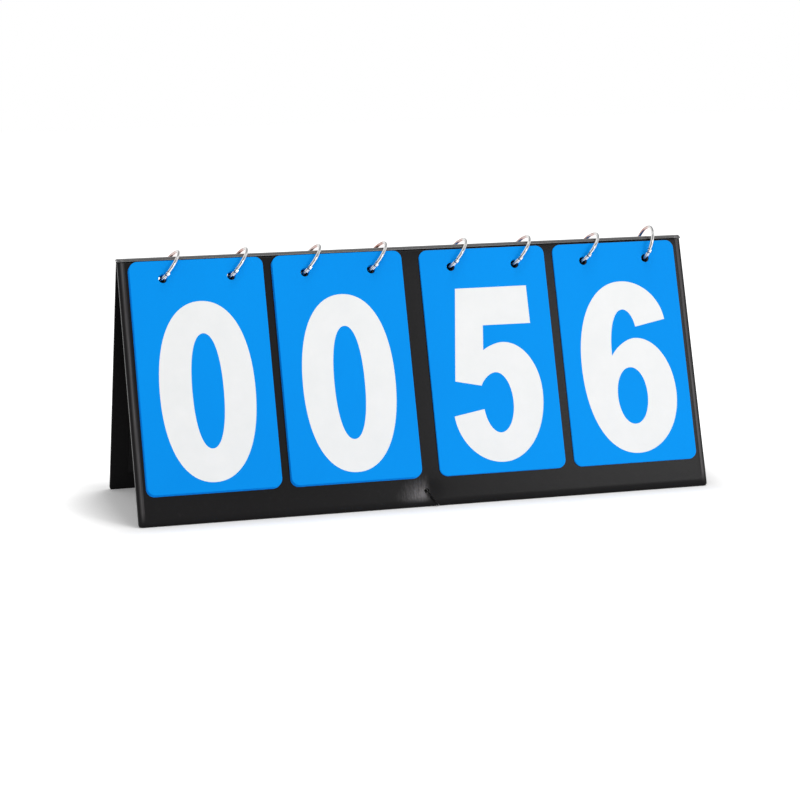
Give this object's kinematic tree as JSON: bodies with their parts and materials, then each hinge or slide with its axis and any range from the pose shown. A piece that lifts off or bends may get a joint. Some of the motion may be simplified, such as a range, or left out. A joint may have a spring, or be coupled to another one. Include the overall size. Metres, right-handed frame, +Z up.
{
  "type": "tabletop flip scoreboard",
  "caption": "Folding tabletop flip scoreboard: two padded boards in an A shape, with columns of number cards that turn over book rings along the ridge.",
  "frame": {"origin": "middle of the footprint on the table", "axes": "+X along the width to the right seen from the front, +Y to the back, +Z up; the numbers face -Y"},
  "size_m": [0.36, 0.1114, 0.1586],
  "materials": {
    "leather_skin": "black grained synthetic leather",
    "lining_paper": "black book cloth lining",
    "board_core": "grey cardboard",
    "card_plastic": "blue sheet with white printed numbers",
    "ring_metal": "bright nickel plate",
    "cord": "black twisted cord"
  },
  "bodies": {
    "front": {"front_cover": "leather_skin", "front_board": "board_core", "front_lining": "lining_paper", "spine": "leather_skin", "spreader_cord": "cord", "left_tens_pack": "card_plastic", "left_units_pack": "card_plastic", "right_tens_pack": "card_plastic", "right_units_pack": "card_plastic"},
    "rear": {"rear_cover": "leather_skin", "rear_board": "board_core", "rear_lining": "lining_paper", "right_tens_turned_pack": "card_plastic", "right_units_turned_pack": "card_plastic"},
    "left_tens_card": {"left_tens_card": "card_plastic"},
    "left_units_card": {"left_units_card": "card_plastic"},
    "right_tens_card": {"right_tens_card": "card_plastic"},
    "right_units_card": {"right_units_card": "card_plastic"},
    "right_tens_turned_card": {"right_tens_turned_card": "card_plastic"},
    "right_units_turned_card": {"right_units_turned_card": "card_plastic"},
    "ring_1": {"ring_1_frame": "ring_metal", "ring_1_rivet": "ring_metal"},
    "ring_1_gate": {"ring_1_gate": "ring_metal"},
    "ring_2": {"ring_2_frame": "ring_metal", "ring_2_rivet": "ring_metal"},
    "ring_2_gate": {"ring_2_gate": "ring_metal"},
    "ring_3": {"ring_3_frame": "ring_metal", "ring_3_rivet": "ring_metal"},
    "ring_3_gate": {"ring_3_gate": "ring_metal"},
    "ring_4": {"ring_4_frame": "ring_metal", "ring_4_rivet": "ring_metal"},
    "ring_4_gate": {"ring_4_gate": "ring_metal"},
    "ring_5": {"ring_5_frame": "ring_metal", "ring_5_rivet": "ring_metal"},
    "ring_5_gate": {"ring_5_gate": "ring_metal"},
    "ring_6": {"ring_6_frame": "ring_metal", "ring_6_rivet": "ring_metal"},
    "ring_6_gate": {"ring_6_gate": "ring_metal"},
    "ring_7": {"ring_7_frame": "ring_metal", "ring_7_rivet": "ring_metal"},
    "ring_7_gate": {"ring_7_gate": "ring_metal"},
    "ring_8": {"ring_8_frame": "ring_metal", "ring_8_rivet": "ring_metal"},
    "ring_8_gate": {"ring_8_gate": "ring_metal"}
  },
  "joints": [
    {"name": "fold", "type": "hinge", "parent": "front", "child": "rear", "pos_m": [0, 0, 0.15008], "axis": [1, 0, 0], "range_deg": [-36.6, 0], "deforming": ["spine", "spreader_cord"]},
    {"name": "left_tens_card_flip", "type": "hinge", "parent": "front", "child": "left_tens_card", "pos_m": [0, 0.00134, 0.1651], "axis": [-1, 0, 0], "range_deg": [0, 322.4], "deforming": ["left_tens_card"]},
    {"name": "left_units_card_flip", "type": "hinge", "parent": "front", "child": "left_units_card", "pos_m": [0, 0.00134, 0.1651], "axis": [-1, 0, 0], "range_deg": [0, 322.4], "deforming": ["left_units_card"]},
    {"name": "right_tens_card_flip", "type": "hinge", "parent": "front", "child": "right_tens_card", "pos_m": [0, -0.00015, 0.1651], "axis": [-1, 0, 0], "range_deg": [0, 322.4], "deforming": ["right_tens_card"]},
    {"name": "right_units_card_flip", "type": "hinge", "parent": "front", "child": "right_units_card", "pos_m": [0, -0.00044, 0.1651], "axis": [-1, 0, 0], "range_deg": [0, 322.4], "deforming": ["right_units_card"]},
    {"name": "right_tens_turned_card_flip", "type": "hinge", "parent": "rear", "child": "right_tens_turned_card", "pos_m": [0, 0.00015, 0.1651], "axis": [1, 0, 0], "range_deg": [0, 322.4], "deforming": ["right_tens_turned_card"]},
    {"name": "right_units_turned_card_flip", "type": "hinge", "parent": "rear", "child": "right_units_turned_card", "pos_m": [0, -0.00015, 0.1651], "axis": [1, 0, 0], "range_deg": [0, 322.4], "deforming": ["right_units_turned_card"]},
    {"name": "ring_1_swing", "type": "hinge", "parent": "front", "child": "ring_1", "pos_m": [-0.15449, 0, 0.13959], "axis": [0, -1, 0], "range_deg": [0, 38]},
    {"name": "ring_1_gate_open", "type": "hinge", "parent": "ring_1", "child": "ring_1_gate", "pos_m": [-0.1515, -0.01101, 0.14342], "axis": [0.788, 0, -0.6157], "range_deg": [0, 60]},
    {"name": "ring_2_swing", "type": "hinge", "parent": "front", "child": "ring_2", "pos_m": [-0.11289, 0, 0.13959], "axis": [0, -1, 0], "range_deg": [0, 38]},
    {"name": "ring_2_gate_open", "type": "hinge", "parent": "ring_2", "child": "ring_2_gate", "pos_m": [-0.1099, -0.01101, 0.14342], "axis": [0.788, 0, -0.6157], "range_deg": [0, 60]},
    {"name": "ring_3_swing", "type": "hinge", "parent": "front", "child": "ring_3", "pos_m": [-0.06749, 0, 0.13959], "axis": [0, -1, 0], "range_deg": [0, 38]},
    {"name": "ring_3_gate_open", "type": "hinge", "parent": "ring_3", "child": "ring_3_gate", "pos_m": [-0.0645, -0.01101, 0.14342], "axis": [0.788, 0, -0.6157], "range_deg": [0, 60]},
    {"name": "ring_4_swing", "type": "hinge", "parent": "front", "child": "ring_4", "pos_m": [-0.02589, 0, 0.13959], "axis": [0, -1, 0], "range_deg": [0, 38]},
    {"name": "ring_4_gate_open", "type": "hinge", "parent": "ring_4", "child": "ring_4_gate", "pos_m": [-0.0229, -0.01101, 0.14342], "axis": [0.788, 0, -0.6157], "range_deg": [0, 60]},
    {"name": "ring_5_swing", "type": "hinge", "parent": "front", "child": "ring_5", "pos_m": [0.02551, 0, 0.13959], "axis": [0, -1, 0], "range_deg": [0, 38]},
    {"name": "ring_5_gate_open", "type": "hinge", "parent": "ring_5", "child": "ring_5_gate", "pos_m": [0.0285, -0.01101, 0.14342], "axis": [0.788, 0, -0.6157], "range_deg": [0, 60]},
    {"name": "ring_6_swing", "type": "hinge", "parent": "front", "child": "ring_6", "pos_m": [0.06711, 0, 0.13959], "axis": [0, -1, 0], "range_deg": [0, 38]},
    {"name": "ring_6_gate_open", "type": "hinge", "parent": "ring_6", "child": "ring_6_gate", "pos_m": [0.0701, -0.01101, 0.14342], "axis": [0.788, 0, -0.6157], "range_deg": [0, 60]},
    {"name": "ring_7_swing", "type": "hinge", "parent": "front", "child": "ring_7", "pos_m": [0.11251, 0, 0.13959], "axis": [0, -1, 0], "range_deg": [0, 38]},
    {"name": "ring_7_gate_open", "type": "hinge", "parent": "ring_7", "child": "ring_7_gate", "pos_m": [0.1155, -0.01101, 0.14342], "axis": [0.788, 0, -0.6157], "range_deg": [0, 60]},
    {"name": "ring_8_swing", "type": "hinge", "parent": "front", "child": "ring_8", "pos_m": [0.15411, 0, 0.13959], "axis": [0, -1, 0], "range_deg": [-18, 20]},
    {"name": "ring_8_gate_open", "type": "hinge", "parent": "ring_8", "child": "ring_8_gate", "pos_m": [0.15577, -0.01101, 0.14416], "axis": [0.9397, 0, -0.342], "range_deg": [0, 60]}
  ]
}
